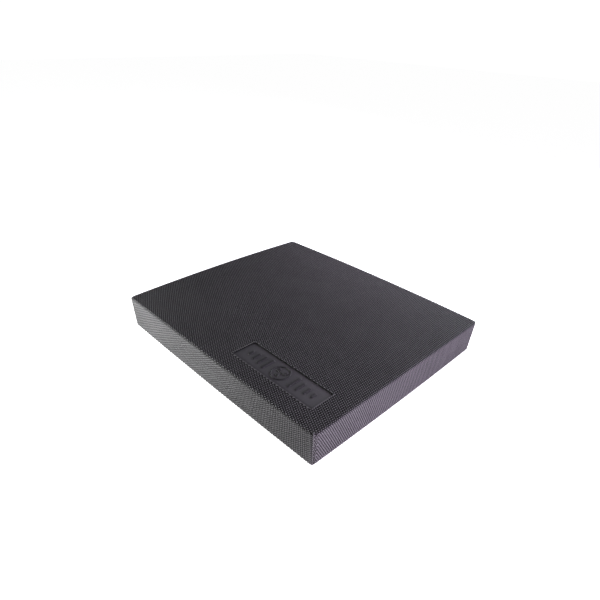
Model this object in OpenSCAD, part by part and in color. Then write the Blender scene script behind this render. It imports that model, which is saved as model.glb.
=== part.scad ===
// Balance pad: a slab of soft closed-cell foam to stand on in balance training.
// Three heat-laminated foam boards are wrapped in an embossed cover skin, closed
// underneath by an embossed base skin, with a smooth badge panel let into the top.
// Millimetres. +X runs along the long side, +Y across the pad, +Z up.
// The origin is the centre of the base, on the floor.

/* [Pad] */
// Length of the pad, along X
pad_l = 460; // [380:1:520]
// Width of the pad, along Y
pad_w = 400; // [320:1:460]
// Height of the pad
pad_h = 60; // [45:1:80]
// How much further in each side lies at the base than at the top
wall_draft = 3.2; // [0:0.1:3.5]
// Radius of the four upright corners at the top, seen from above
corner_r = 7.5; // [7.5:0.5:30]
// Radius of the rounded edges around the top and the base
edge_r = 3; // [3:0.1:3.5]

/* [Skins] */
// Thickness of the embossed cover and base skins
skin_t = 2; // [1:0.1:2.5]

/* [Badge] */
// Length of the badge recess, along X
badge_l = 164; // [100:1:200]
// Width of the badge recess, along Y
badge_w = 43; // [30:1:60]
// Gap from the recess to the edge of the pad at its long side
badge_gap_y = 32; // [20:1:60]
// Gap from the recess to the edge of the pad at its short side
badge_gap_x = 37; // [20:1:100]
// Depth of the panel's face below the top of the pad
badge_depth = 1.8; // [1:0.1:3]
// Thickness of the badge panel
badge_t = 2; // [1.5:0.1:4]
// Corner radius of the recess
recess_corner_r = 1.5; // [1:0.5:4]
// Corner radius of the badge panel
panel_corner_r = 5; // [4:0.5:10]
// Height of the raised emblem on the panel
emblem_h = 0.8; // [0.3:0.1:1]

/* [Hidden] */
$fn = 64;

// Each side leans outwards going up, by this angle
lean = atan(wall_draft / (pad_h - 2 * edge_r));

// How far inside the top outline the flat part of the base ends
base_inset = edge_r + wall_draft;

// Facets across each rounded edge
edge_steps = 5;

// Three equal foam boards fill the height between the skins
board_t = (pad_h - 2 * skin_t) / 3;

// Badge panel
badge_x = pad_l / 2 - badge_gap_x - badge_l / 2;
badge_y = -pad_w / 2 + badge_gap_y + badge_w / 2;
badge_face_z = pad_h - badge_depth;
badge_floor_z = badge_face_z - badge_t;

// Emblem: a level board on a fulcrum inside a ring, between tapering rows of grip bars
ring_r = 0.36 * badge_w;
line_w = 0.05 * badge_w;
board_half = 0.6 * ring_r;
weight_r = 0.15 * ring_r;
fulcrum_h = 0.5 * ring_r;
emblem_gap = 0.05 * ring_r;
bar_pitch = 0.075 * badge_l;
bar_count = 4;
bar_w = 0.4 * bar_pitch;
bar_taper = 0.16;

// Outline of a rectangle with round corners, centred on the origin
module rounded_rectangle(l, w, r) {
    square([l - 2 * r, w], center = true);
    square([l, w - 2 * r], center = true);
    for (sx = [-1, 1], sy = [-1, 1])
        translate([sx * (l / 2 - r), sy * (w / 2 - r)]) circle(r = r);
}

// Points on an arc about centre, between two angles
function arc(centre, r, first, last) =
    [for (i = [0 : edge_steps]) let (turn = first + (last - first) * i / edge_steps)
        centre + r * [cos(turn), sin(turn)]];

// Outline of a leaning wall with its two rounded edges, from the base up. The wall's
// widest point is half_l from the axis, and every face is moved inwards by inset.
function wall_outline(half_l, inset) = concat(
    arc([half_l - base_inset, edge_r], edge_r - inset, -90, -lean),
    arc([half_l - edge_r, pad_h - edge_r], edge_r - inset, -lean, 90));

// Upright section swept straight: a bar of length span along Y, l wide in X
module rounded_bar(l, span, inset) {
    wall = wall_outline(l / 2, inset);
    rotate([90, 0, 0])
        linear_extrude(height = span, center = true)
            polygon(concat(wall, [for (i = [len(wall) - 1 : -1 : 0]) [-wall[i].x, wall[i].y]]));
}

// The pad's block, with every face moved inwards by inset
module pad_block(inset) {
    rounded_bar(pad_l, pad_w - 2 * corner_r, inset);
    rotate([0, 0, 90]) rounded_bar(pad_w, pad_l - 2 * corner_r, inset);
    for (sx = [-1, 1], sy = [-1, 1])
        translate([sx * (pad_l / 2 - corner_r), sy * (pad_w / 2 - corner_r), 0])
            rotate_extrude()
                polygon(concat([[0, inset]], wall_outline(corner_r, inset), [[0, pad_h - inset]]));
}

// Plate that closes the base, inside its rounded edge
module base_plate() {
    linear_extrude(height = skin_t)
        rounded_rectangle(pad_l - 2 * base_inset, pad_w - 2 * base_inset,
                          corner_r - base_inset);
}

// Pocket for the badge panel, from z up through the top of the pad
module badge_pocket(z) {
    translate([badge_x, badge_y, z])
        linear_extrude(height = pad_h) rounded_rectangle(badge_l, badge_w, recess_corner_r);
}

// Embossed skin over the top, the sides and the rounded edge of the base
module cover_skin() {
    color([0.20, 0.20, 0.21]) difference() {
        pad_block(0);
        pad_block(skin_t);
        base_plate();
        badge_pocket(badge_floor_z);
    }
}

// One foam board of the laminated core, counted from the bottom
module foam_board(level) {
    intersection() {
        pad_block(skin_t);
        translate([-pad_l, -pad_w, skin_t + level * board_t])
            cube([2 * pad_l, 2 * pad_w, board_t]);
    }
}

// Top foam board, with the pocket that seats the badge panel
module upper_foam_board() {
    color([0.30, 0.30, 0.32]) difference() {
        foam_board(2);
        badge_pocket(badge_floor_z);
    }
}

// Middle foam board
module middle_foam_board() {
    color([0.36, 0.36, 0.38]) foam_board(1);
}

// Bottom foam board
module lower_foam_board() {
    color([0.30, 0.30, 0.32]) foam_board(0);
}

// Embossed skin that closes the base and lies on the floor
module base_skin() {
    color([0.16, 0.16, 0.17]) base_plate();
}

// Ring around the fulcrum and level board
module emblem_ring() {
    difference() {
        circle(r = ring_r);
        circle(r = ring_r - line_w);
    }
}

// Level board over its fulcrum, with a round weight on each end
module emblem_balance() {
    translate([-board_half, 0]) square([2 * board_half, line_w]);
    polygon([[0, -emblem_gap], [-fulcrum_h / 2, -emblem_gap - fulcrum_h],
             [fulcrum_h / 2, -emblem_gap - fulcrum_h]]);
    for (side = [-1, 1])
        translate([side * (board_half - weight_r), line_w + emblem_gap + weight_r])
            circle(r = weight_r);
}

// Grip bars on both sides of the ring, each shorter than the one before
module emblem_bars() {
    for (side = [-1, 1], i = [1 : bar_count])
        translate([side * (ring_r + i * bar_pitch), 0])
            rounded_rectangle(bar_w, 2 * ring_r * (1 - bar_taper * i), 0.45 * bar_w);
}

// Smooth panel with its raised emblem, moulded in one piece
module badge_panel() {
    color([0.26, 0.26, 0.28]) translate([badge_x, badge_y, badge_floor_z]) {
        linear_extrude(height = badge_t) rounded_rectangle(badge_l, badge_w, panel_corner_r);
        linear_extrude(height = badge_t + emblem_h) {
            emblem_ring();
            emblem_balance();
            emblem_bars();
        }
    }
}

cover_skin();
upper_foam_board();
middle_foam_board();
lower_foam_board();
base_skin();
badge_panel();
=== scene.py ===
"""Balance pad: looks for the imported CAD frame, in metres, in the row frame.

The cover and base skins are meshed as a lattice of small nubs, unfolded flat, triangulated and
then folded over the pad's rounded edges. The foam boards and the badge panel are built from
stacked outlines. One soft shape, a slight crown and bulge, is given to every piece.
"""

import math

import bmesh
import bpy
import numpy as np
from mathutils import Matrix, Vector
from mathutils.geometry import delaunay_2d_cdt


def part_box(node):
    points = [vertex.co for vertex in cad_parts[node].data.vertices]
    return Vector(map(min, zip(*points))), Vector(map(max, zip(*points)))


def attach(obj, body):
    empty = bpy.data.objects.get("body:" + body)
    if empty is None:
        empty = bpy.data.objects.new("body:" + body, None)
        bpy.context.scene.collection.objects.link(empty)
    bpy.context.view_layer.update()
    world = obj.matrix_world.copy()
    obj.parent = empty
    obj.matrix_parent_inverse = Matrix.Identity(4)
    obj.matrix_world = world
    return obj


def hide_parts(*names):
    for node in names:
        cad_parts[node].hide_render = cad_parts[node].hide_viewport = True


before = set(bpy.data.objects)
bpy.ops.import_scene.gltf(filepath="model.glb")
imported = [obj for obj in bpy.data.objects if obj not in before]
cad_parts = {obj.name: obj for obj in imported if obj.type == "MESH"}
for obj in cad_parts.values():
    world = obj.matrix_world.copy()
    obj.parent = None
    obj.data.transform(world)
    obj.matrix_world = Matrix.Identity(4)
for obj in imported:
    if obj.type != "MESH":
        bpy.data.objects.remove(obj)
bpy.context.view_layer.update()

# ------------------------------------------------------------------ sizes
PAD_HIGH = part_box("cover_skin")[1]
BASE_LOW, BASE_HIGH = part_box("base_skin")
BADGE_LOW, BADGE_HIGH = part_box("badge_panel")

HALF_L = PAD_HIGH.x
HALF_W = PAD_HIGH.y
HEIGHT = PAD_HIGH.z
SKIN_T = BASE_HIGH.z - BASE_LOW.z
BASE_INSET = HALF_L - BASE_HIGH.x
CORNER_R = 0.0075          # upright corners at the top, seen from above
EDGE_R = 0.003             # rounded edges around the top and the base

# Each side leans outwards going up, by this angle
LEAN = math.atan((BASE_INSET - EDGE_R) / (HEIGHT - 2 * EDGE_R))

# Nubs: columns run along Y, and each column is shifted by half a step
NUB_STEP_X = 0.00329
NUB_STEP_Y = 0.00359
NUB_DEPTH = 0.0012         # from an apex down to a valley
BORDER_STEP = 0.0018       # spacing of points along every border of the nubbed skin
BORDER_CLEAR = 0.0007      # no nub point lies closer to a border than this

# Soft shape: how far the foam swells beyond its straight-sided block
BULGE = 0.0020             # at the middle of each side
CROWN = 0.0018             # rise of the top
CORNER_DIP = 0.0026        # how far the top corners lie below the middle

BASE_CHAMFER = 0.0003      # around the base skin, where its nubs end

# Badge
RECESS_CORNER_R = 0.0015
PANEL_CORNER_R = 0.005
PANEL_EDGE_R = 0.0005
PANEL_CLEARANCE = 0.00015
BADGE_FACE_DEPTH = 0.0018  # face of the panel below the top of the pad
BADGE_RIM = 0.0002         # smooth strip around the recess
BADGE_LIP = 0.0003         # how far that strip turns down into the recess
EMBLEM_H = BADGE_HIGH.z - (HEIGHT - BADGE_FACE_DEPTH)
EMBLEM_EDGE = ((0, 0), (0.00010, 0.7), (0.00022, 0.93), (0.0004, 1))   # inset, share of the rise

# Emblem, as shares of the badge's size
BADGE_L = BADGE_HIGH.x - BADGE_LOW.x
BADGE_W = BADGE_HIGH.y - BADGE_LOW.y
BADGE_MIDDLE = ((BADGE_LOW.x + BADGE_HIGH.x) / 2, (BADGE_LOW.y + BADGE_HIGH.y) / 2)
RING_R = 0.36 * BADGE_W
LINE_W = 0.05 * BADGE_W
BOARD_HALF = 0.6 * RING_R
BOARD_END_R = 0.3 * LINE_W
WEIGHT_R = 0.15 * RING_R
FULCRUM_H = 0.5 * RING_R
EMBLEM_GAP = 0.05 * RING_R
BAR_COUNT = 4              # on each side of the ring
BAR_PITCH = 0.075 * BADGE_L
BAR_HALF = 0.2 * BAR_PITCH
BAR_R = 0.18 * BAR_PITCH
BAR_TAPER = 0.16           # how much shorter each bar is than the one before, as a share of the ring

# Unfolded skin, measured outwards from the upright corners' axes
AXIS_X = HALF_L - CORNER_R
AXIS_Y = HALF_W - CORNER_R
FLAT_RUN = CORNER_R - EDGE_R
TOP_ARC = (math.pi / 2 + LEAN) * EDGE_R
WALL_RUN = (HEIGHT - 2 * EDGE_R) / math.cos(LEAN)
BASE_ARC = (math.pi / 2 - LEAN) * EDGE_R
FLAP_RUN = FLAT_RUN + TOP_ARC + WALL_RUN + BASE_ARC
CORNER_ARC = math.pi / 2 * CORNER_R

# Meshing
SIDES = ((1, 0), (0, 1), (-1, 0), (0, -1))   # outward directions, anticlockwise
APEX, VALLEY, BORDER = 1, 0, 2   # kinds of point in a nubbed skin
JOINT_LEVEL = 0.5                # height, as a share of a nub's, where two skins or patches join
RIM_LEVEL = 0.6                  # the same for the smooth strip around the recess
ON_LINE = BORDER_CLEAR / 10      # a point this near to a line lies on it
CORNER_STEPS = 4                 # steps in half of an upright corner
LINING_STEP = 0.012              # spacing of points on faces that nothing shows
BOARD_STEP = 0.006               # spacing of points on the foam boards
BOARD_WALL_STEPS = 4
BOARD_ROUND_STEPS = 4
RECESS_COUNTS = (84, 22, 4)      # steps along the recess in X, in Y, and round its corners
PANEL_COUNTS = (96, 24, 10)      # the same for the badge panel
PANEL_ROUND_STEPS = 4
PANEL_STEP = 0.004               # spacing of points on the panel's face
BAR_COUNTS = (4, 8, 4)           # the same as RECESS_COUNTS for a bar of the emblem
RING_STEPS = 64
WEIGHT_STEPS = 32
FULCRUM_STEPS = 8                # along each side
EMBLEM_CLEAR = 0.0004            # no point of the panel's face lies closer to the emblem than this
SAME_POINT_MM = 1e-6             # the triangulation joins points that are closer than this
MERGE_WITHIN = 1e-6
MERGE_PHASE = 0.37               # keeps round numbers away from the borders between cells
CREASE = math.radians(60)        # edges bent more than this stay crisp

# Camera, aimed at the middle of the pad's height over the origin
VIEW_AZIMUTH = math.radians(44.60)
VIEW_ELEVATION = math.radians(32.22)
VIEW_ROLL = math.radians(2.24)
VIEW_DISTANCE = 0.8567
SENSOR_WIDTH = 36                # millimetres, like the lens
LENS = 28.98
LENS_SHIFT = (0.0008, 0.0381)    # as shares of the picture's width

# Stage
BACKDROP_LIGHT = 1.05            # the world as the camera sees it
WORLD_LIGHT = 0.12               # the world as it lights the pad
FLOOR_REACH = 6.0
FLOOR_COLOUR = (0.9, 0.9, 0.9)
FLOOR_ROUGHNESS = 0.8
FLOOR_GLOW = 0.88

# Lamps: name, place, target, size, power, colour
LAMPS = (
    ("key_left", (-0.95, -0.75, 0.14), (-0.1, -0.2, 0.03), (0.6, 0.25), 17.5, (1.0, 1.02, 0.98)),
    ("key_near", (-0.22, -0.5, 0.12), (-0.1, -0.2, 0.03), (0.2, 0.15), 2.4, (1.0, 1.02, 1.02)),
    ("fill_right", (1.3, 0.2, 0.16), (0.2, 0.0, 0.03), (0.8, 0.3), 8.7, (1.0, 0.6, 1.2)),
    ("fill_near", (0.6, -0.15, 0.12), (0.23, -0.1, 0.03), (0.3, 0.15), 2.5, (1.0, 0.92, 1.08)),
    ("rim_back", (0.3, 1.6, 0.5), (0.0, 0.0, 0.05), (1.6, 0.4), 32, (0.86, 1.01, 1.0)),
    ("rim_near", (-0.2, 0.7, 0.4), (-0.1, 0.1, 0.05), (0.5, 0.3), 4.0, (1.0, 0.85, 1.07)),
)

# Colours, and the heights between which one changes into the next
NUB_SLOPE = (0.27, 0.54)
# Painted shade: the valleys between the nubs, and every skin face built without heights, are painted nearly
# black where shade falls. The nub tops keep the foam's grey.
VALLEY_PAINTED_SHADE = (0.0015, 0.0015, 0.0016)
NUB_COLOUR = (0.107, 0.104, 0.108)
EMBLEM_SLOPE = (0.0, 0.3)
EMBLEM_COLOUR = (0.016, 0.016, 0.017)
PANEL_DARK = (0.044, 0.042, 0.046)
PANEL_PALE = (0.052, 0.050, 0.054)
CELL_COLOUR = (0.045, 0.045, 0.048)
CELL_WALL_COLOUR = (0.09, 0.09, 0.095)
NOISE_RANGE = (0.3, 0.7)         # where most of a noise texture's values lie
CELL_RANGE = (0.1, 0.6)          # the same for a cell texture's distances
SKIN_MOTTLE = 0.03               # how far the mottle moves a nub's height for its colour
SKIN_ROUGHNESS = (0.55, 0.72)
BADGE_ROUGHNESS = (0.42, 0.55)


# ------------------------------------------------------------------ camera and stage
def make_camera():
    """Camera at the viewing angle of the product shot."""
    back = Vector((math.sin(VIEW_AZIMUTH) * math.cos(VIEW_ELEVATION),
                   -math.cos(VIEW_AZIMUTH) * math.cos(VIEW_ELEVATION), math.sin(VIEW_ELEVATION)))
    level = (-back).cross(Vector((0, 0, 1))).normalized()
    upward = level.cross(-back)
    right = level * math.cos(VIEW_ROLL) + upward * math.sin(VIEW_ROLL)
    up = upward * math.cos(VIEW_ROLL) - level * math.sin(VIEW_ROLL)
    data = bpy.data.cameras.new("camera")
    data.sensor_width = SENSOR_WIDTH
    data.lens = LENS
    data.shift_x, data.shift_y = LENS_SHIFT
    camera = bpy.data.objects.new("camera", data)
    camera.matrix_world = Matrix.Translation(Vector((0, 0, HEIGHT / 2)) + back * VIEW_DISTANCE) @ \
        Matrix((right, up, back)).transposed().to_4x4()
    bpy.context.scene.collection.objects.link(camera)
    bpy.context.scene.camera = camera


def area_light(name, place, target, size, power, colour):
    """Rectangular lamp that faces its target."""
    data = bpy.data.lights.new(name, "AREA")
    data.shape = "RECTANGLE"
    data.size, data.size_y = size
    data.energy = power
    data.color = colour
    light = bpy.data.objects.new(name, data)
    light.location = place
    aim = Vector(target) - Vector(place)
    light.rotation_euler = aim.to_track_quat("-Z", "Y").to_euler()
    bpy.context.scene.collection.objects.link(light)


def make_world():
    """World that looks white to the camera and lights the pad only dimly."""
    world = bpy.data.worlds.new("studio")
    world.use_nodes = True
    nodes, links = world.node_tree.nodes, world.node_tree.links
    background = nodes["Background"]
    background.inputs["Color"].default_value = (1, 1, 1, 1)
    path = nodes.new("ShaderNodeLightPath")
    strength = nodes.new("ShaderNodeMapRange")
    links.new(path.outputs["Is Camera Ray"], strength.inputs["Value"])
    strength.inputs["To Min"].default_value = WORLD_LIGHT
    strength.inputs["To Max"].default_value = BACKDROP_LIGHT
    links.new(strength.outputs["Result"], background.inputs["Strength"])
    bpy.context.scene.world = world


def make_floor():
    """Pale floor that glows, so that it looks evenly white."""
    mesh = bpy.data.meshes.new("floor")
    corners = [(x * FLOOR_REACH, y * FLOOR_REACH, 0) for x, y in ((-1, -1), (1, -1), (1, 1), (-1, 1))]
    mesh.from_pydata(corners, [], [(0, 1, 2, 3)])
    floor = bpy.data.objects.new("floor", mesh)
    bpy.context.scene.collection.objects.link(floor)
    material = bpy.data.materials.new("floor")
    material.use_nodes = True
    shader = material.node_tree.nodes["Principled BSDF"]
    shader.inputs["Base Color"].default_value = (*FLOOR_COLOUR, 1)
    shader.inputs["Roughness"].default_value = FLOOR_ROUGHNESS
    shader.inputs["Emission Color"].default_value = (1, 1, 1, 1)
    shader.inputs["Emission Strength"].default_value = FLOOR_GLOW
    mesh.materials.append(material)


def make_stage():
    """World, floor and lamps."""
    bpy.context.scene.view_settings.view_transform = "Standard"
    make_world()
    make_floor()
    for name, place, target, size, power, colour in LAMPS:
        area_light(name, place, target, size, power, colour)


# ------------------------------------------------------------------ outlines and triangulation
def run(start, end, count):
    """That many evenly spaced points from start towards end, without the end."""
    start, end = np.array(start, float), np.array(end, float)
    return [tuple(start + (end - start) * i / count) for i in range(count)]


def steps(length, step):
    """How many steps of about that size fit a length."""
    return max(1, round(length / step))


def arc(centre, radius, first, last, count):
    """That many points on an arc between two angles in degrees, without its end."""
    angles = np.radians(np.linspace(first, last, count, endpoint=False))
    return [(centre[0] + radius * math.cos(t), centre[1] + radius * math.sin(t)) for t in angles]


def circle(centre, radius, count):
    """That many points round a circle."""
    return arc(centre, radius, 0, 360, count)


def rounded_outline(low, high, radius, counts):
    """Anticlockwise outline of a rectangle with round corners. counts are the numbers of steps
    along a side in X, along a side in Y, and round a corner."""
    (x0, y0), (x1, y1) = low, high
    along_x, along_y, round_corner = counts
    axes = ((x1 - radius, y0 + radius), (x1 - radius, y1 - radius),
            (x0 + radius, y1 - radius), (x0 + radius, y0 + radius))
    points = []
    for i, outward in enumerate(SIDES):
        points += arc(axes[i], radius, 90 * i - 90, 90 * i, round_corner)
        edge = np.array(outward) * radius
        points += run(axes[i] + edge, axes[(i + 1) % 4] + edge, along_x if i % 2 else along_y)
    return points


def at_height(points, z):
    """Flat points, all placed at one height."""
    points = np.asarray(points)
    return np.column_stack([points, np.full(len(points), z)])


def inside(points, loop):
    """Which of the points lie inside a closed outline."""
    points, loop = np.asarray(points), np.asarray(loop)
    x, y = points[:, 0], points[:, 1]
    found = np.zeros(len(points), bool)
    for (xa, ya), (xb, yb) in zip(loop, np.roll(loop, -1, axis=0)):
        if ya != yb:
            crosses = (ya > y) != (yb > y)
            found ^= crosses & (x < (xb - xa) * (y - ya) / (yb - ya) + xa)
    return found


def away_from(points, loop, clear):
    """Which of the points keep at least that distance from an outline."""
    points, loop = np.asarray(points), np.asarray(loop)
    keep = np.ones(len(points), bool)
    for a, b in zip(loop, np.roll(loop, -1, axis=0)):
        low, high = np.minimum(a, b) - clear, np.maximum(a, b) + clear
        near = np.flatnonzero(((points > low) & (points < high)).all(axis=1))
        if len(near):
            along = b - a
            t = np.clip((points[near] - a) @ along / (along @ along), 0, 1)
            gap = np.linalg.norm(points[near] - a - t[:, None] * along, axis=1)
            keep[near[gap < clear]] = False
    return keep


def triangulate(loops, holes, loose):
    """Triangles between the outlines, through the loose points. The first loop is the outside,
    and holes are left open. Gives the points, in the order loops, holes, loose, and the faces."""
    points, edges = [], []
    for loop in list(loops) + list(holes):
        first = len(points)
        points += [tuple(p) for p in loop]
        edges += [(first + i, first + (i + 1) % len(loop)) for i in range(len(loop))]
    points += [tuple(p) for p in loose]
    in_mm = [Vector(p) * 1000 for p in points]
    made = delaunay_2d_cdt(in_mm, edges, [], 0, SAME_POINT_MM)
    if len(made[0]) != len(points):
        raise RuntimeError("outlines cross")
    points, faces = np.array(points), np.array(made[2])
    centres = points[faces].mean(axis=1)
    keep = inside(centres, loops[0])
    for hole in holes:
        keep &= ~inside(centres, hole)
    faces = faces[keep]
    a, b, c = (points[faces[:, i]] for i in range(3))
    turned = (b - a)[:, 0] * (c - a)[:, 1] < (b - a)[:, 1] * (c - a)[:, 0]
    faces[turned] = faces[turned][:, ::-1]
    return points, faces


def grid_in(outline, step, holes=()):
    """Evenly spaced points inside an outline, clear of it and of the holes."""
    low, high = np.min(outline, axis=0), np.max(outline, axis=0)
    axes = [np.linspace(low[i], high[i], steps(high[i] - low[i], step) + 1)[1:-1] for i in (0, 1)]
    points = np.stack(np.meshgrid(*axes), axis=-1).reshape(-1, 2)
    keep = inside(points, outline) & away_from(points, outline, step / 3)
    for hole in holes:
        keep &= ~inside(points, hole) & away_from(points, hole, step / 3)
    return points[keep]


# ------------------------------------------------------------------ nubs
def nub_points(low, high):
    """Apexes and valley points of the nub lattice in a rectangle, and their kinds. The lattice
    has a nub at the origin and is symmetric in X and Y."""
    p, q = NUB_STEP_X, NUB_STEP_Y / 2
    columns = np.arange(math.floor(low[0] / p) - 1, math.ceil(high[0] / p) + 2)
    rows = np.arange(math.floor(low[1] / (2 * q)) - 1, math.ceil(high[1] / (2 * q)) + 2)
    i, j = np.meshgrid(columns, rows, indexing="ij")
    x = (i * p).ravel()
    y = (j * 2 * q + (i % 2) * q).ravel()
    places = np.concatenate([np.stack([x, y], 1), np.stack([x + 2 * p / 3, y], 1),
                             np.stack([x + p / 3, y + q], 1)])
    kinds = np.repeat([APEX, VALLEY, VALLEY], len(x))
    keep = ((places > low) & (places < high)).all(axis=1)
    return places[keep], kinds[keep]


def nub_height(x, y):
    """Height of the nubbed surface, from 0 in a valley to 1 on an apex. The sum of the three
    waves runs from -1.5 to 3."""
    u = np.pi * x / NUB_STEP_X
    v = 2 * np.pi * y / NUB_STEP_Y
    return (np.cos(u + v) + np.cos(u - v) + np.cos(2 * u) + 1.5) / 4.5


def nub_patch(outline, level, rings=()):
    """A nubbed patch of the unfolded skin: points, faces, kinds and heights. level says which
    points of the outline lie at the level of a joint. rings are outlines with their heights,
    from the end of the nubs inwards to the edge of a hole, with smooth strips between them."""
    outline = np.array(outline)
    loose, kinds = nub_points(outline.min(axis=0), outline.max(axis=0))
    keep = inside(loose, outline) & away_from(loose, outline, BORDER_CLEAR)
    if rings:
        keep &= ~inside(loose, rings[0][0]) & away_from(loose, rings[0][0], BORDER_CLEAR)
    loose, kinds = loose[keep], kinds[keep]
    loops = [outline] + [ring for ring, _ in rings[:-1]]
    points, faces = triangulate(loops, [ring for ring, _ in rings[-1:]], loose)
    edge = np.where(level(outline), JOINT_LEVEL, nub_height(*outline.T))
    heights = np.concatenate([edge] + [np.full(len(ring), height) for ring, height in rings]
                             + [(kinds == APEX).astype(float)])
    kinds = np.concatenate([np.full(len(points) - len(loose), BORDER), kinds])
    return points, faces, kinds, heights


# ------------------------------------------------------------------ folding and soft shape
def edge_profile(distance):
    """Where the unfolded skin goes at a distance outside the corner axes: how far out and how
    high, and the outward and upward parts of its normal there."""
    d = np.asarray(distance, float) - FLAT_RUN
    turn = np.clip(d, 0, TOP_ARC) / EDGE_R + np.clip(d - TOP_ARC - WALL_RUN, 0, BASE_ARC) / EDGE_R
    n_out, n_up = np.sin(turn), np.cos(turn)
    wall = np.clip(d - TOP_ARC, 0, WALL_RUN)
    out = FLAT_RUN + np.minimum(d, 0) + EDGE_R * n_out - wall * math.sin(LEAN)
    up = HEIGHT - EDGE_R + EDGE_R * n_up - wall * math.cos(LEAN)
    return out, up, n_out, n_up


def fold_straight(points, depth):
    """Folds points of the unfolded skin over the straight edges, and sinks them by depth."""
    x, y = points[:, 0], points[:, 1]
    over_x, over_y = np.abs(x) - AXIS_X, np.abs(y) - AXIS_Y
    out, up, n_out, n_up = edge_profile(np.maximum(over_x, over_y))
    out = out - n_out * depth
    on_x = (over_x > 0) & (over_x >= over_y)
    on_y = (over_y > 0) & ~on_x
    return np.stack([np.where(on_x, np.sign(x) * (AXIS_X + out), x),
                     np.where(on_y, np.sign(y) * (AXIS_Y + out), y), up - n_up * depth], 1)


def fold_corner(turn, distance, depth):
    """Places points round the upright corner at +X +Y. turn is the angle from +X, in radians."""
    out, up, n_out, n_up = edge_profile(distance)
    out = out - n_out * depth
    return np.stack([AXIS_X + out * np.cos(turn), AXIS_Y + out * np.sin(turn), up - n_up * depth], 1)


def soften(points):
    """The crown and bulge of soft foam. The crown grows from nothing at the base."""
    points = np.array(points, float)
    u, v, w = points[:, 0] / HALF_L, points[:, 1] / HALF_W, points[:, 2] / HEIGHT
    points[:, 0] += BULGE * u ** 3 * np.clip(1 - v ** 2, 0, 1)
    points[:, 1] += BULGE * v ** 3 * np.clip(1 - u ** 2, 0, 1)
    points[:, 2] += w * (CROWN - CORNER_DIP * np.clip(u ** 2 * v ** 2, 0, 1))
    return points


# ------------------------------------------------------------------ meshes
class Build:
    """Collects the patches of one piece, and joins them where their borders meet."""

    def __init__(self):
        self.points, self.kinds, self.heights, self.faces = [], [], [], []
        self.count = 0

    def add(self, points, faces, kinds=None, heights=None):
        """Adds a patch. Points without a kind are border points, and those without a height count as lying
        in a valley, so the skin paints them with the valleys' painted shade."""
        size = len(points)
        self.points.append(np.asarray(points, float))
        self.kinds.append(np.full(size, BORDER) if kinds is None else kinds)
        self.heights.append(np.zeros(size) if heights is None else heights)
        self.faces += (np.asarray(faces) + self.count).tolist()
        self.count += size

    def wall(self, first, second, closed=True, heights=None):
        """A strip of quads between two rows of points."""
        size = len(first)
        faces = [(i, (i + 1) % size, size + (i + 1) % size, size + i)
                 for i in range(size if closed else size - 1)]
        self.add(np.concatenate([first, second]), faces, heights=heights)

    def make(self, name, material):
        """Merges the borders, turns the faces outwards and makes the object. The heights go into its
        attribute "nub", which paints shade into the valleys of the nubs and colours the badge's emblem."""
        points = soften(np.concatenate(self.points))
        cells = np.floor(points / MERGE_WITHIN + MERGE_PHASE).astype(np.int64)
        _, first, same = np.unique(cells, axis=0, return_index=True, return_inverse=True)
        same = same.ravel()
        faces = [list(dict.fromkeys(int(same[i]) for i in face)) for face in self.faces]
        mesh = bpy.data.meshes.new(name)
        mesh.from_pydata(points[first].tolist(), [], [face for face in faces if len(face) > 2])
        shell = bmesh.new()
        shell.from_mesh(mesh)
        bmesh.ops.recalc_face_normals(shell, faces=shell.faces)
        open_edges = sum(not edge.is_manifold for edge in shell.edges)
        creased = np.array([edge.calc_face_angle(0) > CREASE for edge in shell.edges])
        shell.to_mesh(mesh)
        shell.free()
        if open_edges:
            print(f"{name}: {open_edges} open edges")

        kinds, heights = np.concatenate(self.kinds)[first], np.concatenate(self.heights)[first]
        attribute = mesh.attributes.new("nub", "FLOAT", "POINT")
        attribute.data.foreach_set("value", heights.astype(np.float32))
        ends = np.empty(len(mesh.edges) * 2, np.int32)
        mesh.edges.foreach_get("vertices", ends)
        in_valley = (kinds[ends[0::2]] == VALLEY) & (kinds[ends[1::2]] == VALLEY)
        mesh.edges.foreach_set("use_edge_sharp", in_valley | creased)
        mesh.polygons.foreach_set("use_smooth", np.ones(len(mesh.polygons), bool))
        mesh.materials.append(material)
        piece = bpy.data.objects.new(name, mesh)
        bpy.context.scene.collection.objects.link(piece)
        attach(piece, "root")
        return piece


# ------------------------------------------------------------------ the cover skin
def flap_stations():
    """Distances outside the corner axes at which the upright borders of the flaps have points."""
    stations, start = [], 0.0
    for length in (FLAT_RUN, TOP_ARC, WALL_RUN, BASE_ARC):
        stations += [p[0] for p in run((start, 0), (start + length, 0), steps(length, BORDER_STEP))]
        start += length
    return stations + [FLAP_RUN]


def flat_cover_outline(stations):
    """Cross-shaped outline of the cover laid flat, without its upright corners, and for each of
    its four flaps the row of points along the flap's lower end."""
    outline, ends = [], []
    for i, outward in enumerate(SIDES):
        start, half = (AXIS_Y, AXIS_X) if i % 2 else (AXIS_X, AXIS_Y)
        outward = np.array(outward)
        side = np.array(SIDES[(i + 1) % 4]) * half
        outline += [tuple(outward * (start + s) - side) for s in stations[:-1]]
        tip = outward * (start + FLAP_RUN)
        end = run(tip - side, tip + side, steps(2 * half, BORDER_STEP))
        outline += end
        outline += [tuple(outward * (start + s) + side) for s in reversed(stations[1:])]
        ends.append(np.array(end + [tuple(tip + side)]))
    return outline, ends


def recess_outline(offset):
    """Outline of the badge recess, moved outwards by offset."""
    radius = RECESS_CORNER_R + offset
    return rounded_outline((BADGE_LOW.x - offset, BADGE_LOW.y - offset),
                           (BADGE_HIGH.x + offset, BADGE_HIGH.y + offset), radius, RECESS_COUNTS)


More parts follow.
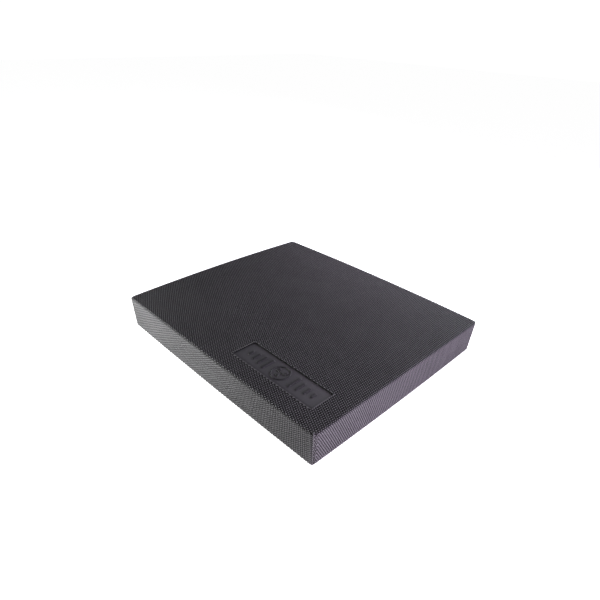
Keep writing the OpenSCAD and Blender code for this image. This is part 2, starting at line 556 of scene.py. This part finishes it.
def lining_points(stations, outline, hole):
    """Loose points for the smooth inside of the cover laid flat: rows along each fold."""
    rows = [s for s in stations if s < FLAT_RUN + TOP_ARC or s > FLAT_RUN + TOP_ARC + WALL_RUN]
    rows = np.array(rows[1:] + stations[::4])
    across = [np.linspace(-half, half, steps(2 * half, LINING_STEP) + 1)[1:-1]
              for half in (AXIS_X, AXIS_Y)]
    top = [(-AXIS_X, -AXIS_Y), (AXIS_X, -AXIS_Y), (AXIS_X, AXIS_Y), (-AXIS_X, AXIS_Y)]
    points = [grid_in(top, LINING_STEP, [hole])]
    for sign in (-1, 1):
        points.append(np.stack(np.meshgrid(sign * (AXIS_X + rows), across[1]), -1).reshape(-1, 2))
        points.append(np.stack(np.meshgrid(across[0], sign * (AXIS_Y + rows)), -1).reshape(-1, 2))
    points = np.unique(np.round(np.concatenate(points), 7), axis=0)
    return points[inside(points, outline) & away_from(points, outline, BORDER_CLEAR)]


def corner_patches(stations):
    """The patches of the upright corner at +X +Y, each with its outline laid flat, the points of
    it that lie at joint level, and the function that folds it."""
    half_turn = CORNER_ARC / 2
    turns = [half_turn * i / CORNER_STEPS for i in range(CORNER_STEPS + 1)]
    flat = [s for s in stations if s < FLAT_RUN - BORDER_CLEAR]
    down = stations[len(flat):]
    axis = np.array((AXIS_X, AXIS_Y))

    def on_arc(p):
        from_axis = p - axis
        return (np.linalg.norm(from_axis, axis=1) > FLAT_RUN - ON_LINE) & (from_axis > ON_LINE).all(axis=1)

    top = [(s, 0) for s in flat] + arc((0, 0), FLAT_RUN, 0, 90, 2 * CORNER_STEPS) + \
        [(0, s) for s in [FLAT_RUN] + flat[:0:-1]]
    yield axis + np.array(top), on_arc, fold_straight

    ring = [(d, 0) for d in down[:-1]] + [(FLAP_RUN, t) for t in turns[:-1]] + \
        [(d, half_turn) for d in down[:0:-1]] + [(FLAT_RUN, t) for t in turns[:0:-1]]
    for swap in (False, True):
        outline = np.array([p[::-1] for p in ring[::-1]] if swap else ring)
        down_axis = 1 if swap else 0

        def level(p, k=down_axis):
            d, t = (p - axis)[:, k], (p - axis)[:, 1 - k]
            at_top = (d < FLAT_RUN + ON_LINE) & (t > ON_LINE)
            return (t > half_turn - ON_LINE) | (d > FLAP_RUN - ON_LINE) | at_top

        def fold(p, depth, k=down_axis):
            turn = (p - axis)[:, 1 - k] / CORNER_R
            return fold_corner(math.pi / 2 - turn if k else turn, (p - axis)[:, k], depth)

        yield axis + outline, level, fold


def make_cover(material):
    """Embossed skin over the top and the sides, closed by its smooth lining."""
    build = Build()
    stations = flap_stations()
    outline, ends = flat_cover_outline(stations)
    rings = [(recess_outline(BADGE_RIM), RIM_LEVEL), (recess_outline(0), RIM_LEVEL)]
    hole = np.array(rings[-1][0])

    def at_lower_end(p):
        over = np.maximum(np.abs(p[:, 0]) - AXIS_X, np.abs(p[:, 1]) - AXIS_Y)
        return over > FLAP_RUN - ON_LINE

    points, faces, kinds, heights = nub_patch(outline, at_lower_end, rings)
    build.add(fold_straight(points, NUB_DEPTH * (1 - heights)), faces, kinds, heights)
    points, faces = triangulate([outline], [hole], lining_points(stations, outline, hole))
    build.add(fold_straight(points, SKIN_T), faces)

    joint_depth = NUB_DEPTH * (1 - JOINT_LEVEL)
    rim_depth = NUB_DEPTH * (1 - RIM_LEVEL)
    # The recess's walls get no heights, so the skin paints them with the valleys' painted shade, a dark line
    # where shade falls in the recess.
    rows = [fold_straight(hole, depth) for depth in (rim_depth, rim_depth + BADGE_LIP, SKIN_T)]
    for upper, lower in zip(rows, rows[1:]):
        build.wall(upper, lower)
    # The lower ends of the flaps, here and round the corners below, get no heights, so they too carry the
    # valleys' painted shade.
    for end in ends:
        build.wall(fold_straight(end, joint_depth), fold_straight(end, SKIN_T), closed=False)

    mirrors = [np.array((sx, sy, 1)) for sx in (-1, 1) for sy in (-1, 1)]
    for outline, level, fold in corner_patches(stations):
        points, faces, kinds, heights = nub_patch(outline, level)
        lining, lining_faces = triangulate([outline], [], [])
        for mirror in mirrors:
            build.add(fold(points, NUB_DEPTH * (1 - heights)) * mirror, faces, kinds, heights)
            build.add(fold(lining, SKIN_T) * mirror, lining_faces)
    turn = np.linspace(0, math.pi / 2, 2 * CORNER_STEPS + 1)
    lower_end = np.full(len(turn), FLAP_RUN)
    for mirror in mirrors:
        build.wall(fold_corner(turn, lower_end, joint_depth) * mirror,
                   fold_corner(turn, lower_end, SKIN_T) * mirror, closed=False)

    cover = build.make("cover_skin_embossed", material)
    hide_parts("cover_skin")


# ------------------------------------------------------------------ the base skin
def make_base(material):
    """Embossed skin that closes the underside, with its nubs on the floor."""
    low, high = (BASE_LOW.x, BASE_LOW.y), (BASE_HIGH.x, BASE_HIGH.y)
    counts = (steps(high[0] - low[0], BORDER_STEP), steps(high[1] - low[1], BORDER_STEP), CORNER_STEPS)

    def outline(inset):
        return np.array(rounded_outline((low[0] + inset, low[1] + inset), (high[0] - inset, high[1] - inset),
                                        CORNER_R - BASE_INSET - inset, counts))

    build = Build()
    points, faces, kinds, heights = nub_patch(outline(BASE_CHAMFER), lambda p: np.ones(len(p), bool))
    build.add(np.column_stack([points, NUB_DEPTH * (1 - heights)]), faces, kinds, heights)
    # These walls get no heights, so they carry the valleys' painted shade.
    rows = [at_height(outline(BASE_CHAMFER), NUB_DEPTH * (1 - JOINT_LEVEL)),
            at_height(outline(0), NUB_DEPTH * (1 - JOINT_LEVEL) + BASE_CHAMFER),
            at_height(outline(0), SKIN_T)]
    for lower, upper in zip(rows, rows[1:]):
        build.wall(lower, upper)
    edge = outline(0)
    points, faces = triangulate([edge], [], grid_in(edge, LINING_STEP))
    build.add(at_height(points, SKIN_T), faces)
    base = build.make("base_skin_embossed", material)
    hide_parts("base_skin")


# ------------------------------------------------------------------ the foam boards
def core_inset(z):
    """How far inside the pad's top outline the wall of the foam core lies at a height."""
    round_r = EDGE_R - SKIN_T
    top, base = HEIGHT - EDGE_R + round_r * math.sin(-LEAN), EDGE_R + round_r * math.sin(-LEAN)
    if z > top:
        return EDGE_R - math.sqrt(max(0, round_r ** 2 - (z - HEIGHT + EDGE_R) ** 2))
    if z < base:
        return BASE_INSET - math.sqrt(max(0, round_r ** 2 - (z - EDGE_R) ** 2))
    return EDGE_R - round_r * math.cos(LEAN) + (top - z) * math.tan(LEAN)


def make_board(node, name, material, pocket=False):
    """One foam board of the core, whose edges follow the inside of the skins."""
    low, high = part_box(node)
    counts = (steps(2 * HALF_L, BOARD_STEP), steps(2 * HALF_W, BOARD_STEP), CORNER_STEPS)

    def outline(inset):
        return np.array(rounded_outline((inset - HALF_L, inset - HALF_W), (HALF_L - inset, HALF_W - inset),
                                        CORNER_R - inset, counts))

    levels = np.linspace(low.z, high.z, BOARD_WALL_STEPS + 1)
    turns = np.linspace(0, math.pi / 2, BOARD_ROUND_STEPS + 1)
    for edge, side in ((SKIN_T, 1), (HEIGHT - SKIN_T, -1)):
        if low.z - MERGE_WITHIN < edge < high.z + MERGE_WITHIN:
            levels = np.append(levels, edge + side * (EDGE_R - SKIN_T) * (1 - np.cos(turns))[1:])
    levels = np.unique(np.round(levels, 6))
    levels[0], levels[-1] = low.z, high.z
    profile = [(core_inset(z), z) for z in levels]

    build = Build()
    rows = [at_height(outline(inset), z) for inset, z in profile]
    for lower, upper in zip(rows, rows[1:]):
        build.wall(lower, upper)
    holes = [np.array(recess_outline(0))] if pocket else []
    for row, openings in ((rows[0], []), (rows[-1], holes)):
        edge = row[:, :2]
        points, faces = triangulate([edge], openings, grid_in(edge, BOARD_STEP, openings))
        build.add(at_height(points, row[0, 2]), faces)
    for hole in holes:
        build.wall(at_height(hole, high.z), at_height(hole, BADGE_LOW.z))
        points, faces = triangulate([hole], [], grid_in(hole, BOARD_STEP))
        build.add(at_height(points, BADGE_LOW.z), faces)
    board = build.make(name, material)
    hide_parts(node)


def make_boards(material):
    """The three boards of the laminated core."""
    make_board("upper_foam_board", "upper_foam_board_cut", material, pocket=True)
    make_board("middle_foam_board", "middle_foam_board_cut", material)
    make_board("lower_foam_board", "lower_foam_board_cut", material)


# ------------------------------------------------------------------ the badge panel
def rounding(radius, count):
    """Inset and drop of the points of a quarter round, from the wall to the face."""
    turns = np.linspace(0, math.pi / 2, count + 1)
    return [(radius * (1 - math.cos(t)), radius * (1 - math.sin(t))) for t in turns]


def bar_shape(centre, half_x, half_y, radius):
    """A bar with round ends, as a function from inset to outline."""
    def outline(inset):
        return rounded_outline((centre[0] - half_x + inset, centre[1] - half_y + inset),
                               (centre[0] + half_x - inset, centre[1] + half_y - inset),
                               radius - inset, BAR_COUNTS)
    return outline


def disc_shape(centre, radius, count):
    """A disc, or the outside edge of a ring."""
    return lambda inset: circle(centre, radius - inset, count)


def ring_hole_shape(centre, radius, count):
    """The inside edge of a ring, whose slope leans the other way."""
    return lambda inset: circle(centre, radius + inset, count)


def triangle_shape(tip, width, height):
    """A triangle standing on its base."""
    corners = np.array(tip) + np.array(((0, 0), (-width / 2, -height), (width / 2, -height)))
    sides = np.linalg.norm(corners - np.roll(corners, -1, axis=0), axis=1)
    inner_r = width * height / sides.sum()
    middle = np.roll(sides, -1) @ corners / sides.sum()

    def outline(inset):
        shrunk = middle + (corners - middle) * (1 - inset / inner_r)
        return [point for i in range(3) for point in run(shrunk[i], shrunk[(i + 1) % 3], FULCRUM_STEPS)]
    return outline


def emblem_shapes():
    """The raised shapes of the emblem: a level board over a fulcrum with two round weights, in a
    ring, between rows of bars that grow shorter outwards."""
    def at(x, y):
        return (BADGE_MIDDLE[0] + x, BADGE_MIDDLE[1] + y)

    shapes = [disc_shape(at(0, 0), RING_R, RING_STEPS),
              ring_hole_shape(at(0, 0), RING_R - LINE_W, RING_STEPS),
              bar_shape(at(0, LINE_W / 2), BOARD_HALF, LINE_W / 2, BOARD_END_R),
              triangle_shape(at(0, -EMBLEM_GAP), FULCRUM_H, FULCRUM_H)]
    for side in (-1, 1):
        shapes.append(disc_shape(at(side * (BOARD_HALF - WEIGHT_R), LINE_W + EMBLEM_GAP + WEIGHT_R),
                                 WEIGHT_R, WEIGHT_STEPS))
        for i in range(1, BAR_COUNT + 1):
            shapes.append(bar_shape(at(side * (RING_R + i * BAR_PITCH), 0), BAR_HALF,
                                    RING_R * (1 - BAR_TAPER * i), BAR_R))
    return shapes


def panel_outline(inset):
    """Outline of the badge panel, moved inwards by inset."""
    inset += PANEL_CLEARANCE
    return np.array(rounded_outline((BADGE_LOW.x + inset, BADGE_LOW.y + inset),
                                    (BADGE_HIGH.x - inset, BADGE_HIGH.y - inset),
                                    PANEL_CORNER_R - inset, PANEL_COUNTS))


def make_badge(material):
    """Smooth panel in the recess, with rounded edges and its raised emblem, in one mesh."""
    face = HEIGHT - BADGE_FACE_DEPTH
    build = Build()
    rows = [at_height(panel_outline(0), BADGE_LOW.z), at_height(panel_outline(0), face - PANEL_EDGE_R)]
    rows += [at_height(panel_outline(inset), face - drop)
             for inset, drop in rounding(PANEL_EDGE_R, PANEL_ROUND_STEPS)[1:]]
    for lower, upper in zip(rows, rows[1:]):
        build.wall(lower, upper)
    points, faces = triangulate([rows[0][:, :2]], [], [])
    build.add(at_height(points, BADGE_LOW.z), faces)

    loops, levels = [rows[-1][:, :2]], [face]
    for shape in emblem_shapes():
        for inset, rise in EMBLEM_EDGE:
            loops.append(np.array(shape(inset)))
            levels.append(face + rise * EMBLEM_H)
    loose = grid_in(loops[0], PANEL_STEP)
    for loop in loops[1:]:
        loose = loose[away_from(loose, loop, EMBLEM_CLEAR)]
    for shape in emblem_shapes():
        loose = loose[~inside(loose, np.array(shape(0)))]
    points, faces = triangulate(loops, [], loose)
    z = np.concatenate([np.full(len(loop), level) for loop, level in zip(loops, levels)]
                       + [np.full(len(loose), face)])
    build.add(np.column_stack([points, z]), faces, heights=(z - face) / EMBLEM_H)
    badge = build.make("badge_panel_moulded", material)
    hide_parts("badge_panel")


# ------------------------------------------------------------------ materials
class Shading:
    """A material's node tree, with short calls for what the materials share."""

    def __init__(self, name):
        self.material = bpy.data.materials.new(name)
        self.material.use_nodes = True
        self.tree = self.material.node_tree
        self.shader = self.tree.nodes["Principled BSDF"]
        self.place = self.add("ShaderNodeTexCoord").outputs["Object"]

    def add(self, kind, **settings):
        """A new node with those settings."""
        node = self.tree.nodes.new(kind)
        for key, value in settings.items():
            setattr(node, key, value)
        return node

    def link(self, source, target):
        """Leads an output into an input."""
        self.tree.links.new(source, target)

    def noise(self, scale, detail=2.0, roughness=0.5):
        """Noise, with about scale waves to the metre."""
        node = self.add("ShaderNodeTexNoise")
        self.link(self.place, node.inputs["Vector"])
        node.inputs["Scale"].default_value = scale
        node.inputs["Detail"].default_value = detail
        node.inputs["Roughness"].default_value = roughness
        return node.outputs["Fac"]

    def cells(self, scale):
        """Distance from the middle of the nearest cell, with about scale cells to the metre."""
        node = self.add("ShaderNodeTexVoronoi")
        self.link(self.place, node.inputs["Vector"])
        node.inputs["Scale"].default_value = scale
        return node.outputs["Distance"]

    def attribute(self, name):
        """The mesh's attribute of that name."""
        return self.add("ShaderNodeAttribute", attribute_name=name).outputs["Fac"]

    def remap(self, source, low, high, to_low, to_high):
        """Stretches the range low to high onto to_low to to_high, and clamps it there."""
        node = self.add("ShaderNodeMapRange")
        self.link(source, node.inputs["Value"])
        for name, value in (("From Min", low), ("From Max", high), ("To Min", to_low), ("To Max", to_high)):
            node.inputs[name].default_value = value
        return node.outputs["Result"]

    def maths(self, operation, first, second):
        """A sum or other operation on two numbers or outputs."""
        node = self.add("ShaderNodeMath", operation=operation)
        for socket, value in zip(node.inputs, (first, second)):
            if isinstance(value, (int, float)):
                socket.default_value = value
            else:
                self.link(value, socket)
        return node.outputs["Value"]

    def blend(self, amount, first, second):
        """Colour between two colours, by an amount from 0 to 1."""
        node = self.add("ShaderNodeMix", data_type="RGBA")
        self.link(amount, node.inputs["Factor"])
        for name, value in (("A", first), ("B", second)):
            socket = next(s for s in node.inputs if s.name == name and s.type == "RGBA")
            if isinstance(value, tuple):
                socket.default_value = (*value, 1)
            else:
                self.link(value, socket)
        return next(s for s in node.outputs if s.type == "RGBA")

    def bump(self, height, distance):
        """Fine relief, whose full height is that distance in metres."""
        node = self.add("ShaderNodeBump")
        self.link(height, node.inputs["Height"])
        node.inputs["Distance"].default_value = distance
        self.link(node.outputs["Normal"], self.shader.inputs["Normal"])


def skin_material():
    """Charcoal foam skin: painted shade makes the valleys nearly black, and the nubs are a faintly mottled
    grey.
    """
    shading = Shading("embossed_skin")
    nub = shading.attribute("nub")
    mottle = shading.noise(scale=18, detail=4, roughness=0.6)
    grain = shading.noise(scale=2600)
    height = shading.maths("ADD", nub, shading.remap(mottle, *NOISE_RANGE, -SKIN_MOTTLE, SKIN_MOTTLE))
    raised = shading.remap(height, *NUB_SLOPE, 0, 1)
    # Painted shade: the colour runs from nearly black in the valleys to the foam's grey on the nubs.
    colour = shading.blend(raised, VALLEY_PAINTED_SHADE, NUB_COLOUR)
    shading.link(colour, shading.shader.inputs["Base Color"])
    shading.link(shading.remap(grain, *NOISE_RANGE, *SKIN_ROUGHNESS), shading.shader.inputs["Roughness"])
    shading.shader.inputs["Specular IOR Level"].default_value = 0.15
    shading.bump(grain, distance=0.00006)
    return shading.material


def board_material():
    """Cut face of fine closed-cell foam."""
    shading = Shading("foam_board")
    cells = shading.cells(scale=1400)
    colour = shading.blend(shading.remap(cells, *CELL_RANGE, 0, 1), CELL_COLOUR, CELL_WALL_COLOUR)
    shading.link(colour, shading.shader.inputs["Base Color"])
    shading.shader.inputs["Roughness"].default_value = 0.85
    shading.bump(cells, distance=0.00025)
    return shading.material


def badge_material():
    """Smooth moulded panel with a faint leather-like grain, and a darker emblem."""
    shading = Shading("badge")
    mottle = shading.noise(scale=30, detail=3)
    grain = shading.noise(scale=1800, detail=3)
    panel = shading.blend(shading.remap(mottle, *NOISE_RANGE, 0, 1), PANEL_DARK, PANEL_PALE)
    raised = shading.remap(shading.attribute("nub"), *EMBLEM_SLOPE, 0, 1)
    colour = shading.blend(raised, panel, EMBLEM_COLOUR)
    shading.link(colour, shading.shader.inputs["Base Color"])
    shading.link(shading.remap(grain, *NOISE_RANGE, *BADGE_ROUGHNESS), shading.shader.inputs["Roughness"])
    shading.shader.inputs["Specular IOR Level"].default_value = 0.3
    shading.bump(grain, distance=0.00003)
    return shading.material


# ------------------------------------------------------------------ the scene
make_camera()
make_stage()
skin = skin_material()
make_cover(skin)
make_base(skin)
make_boards(board_material())
make_badge(badge_material())
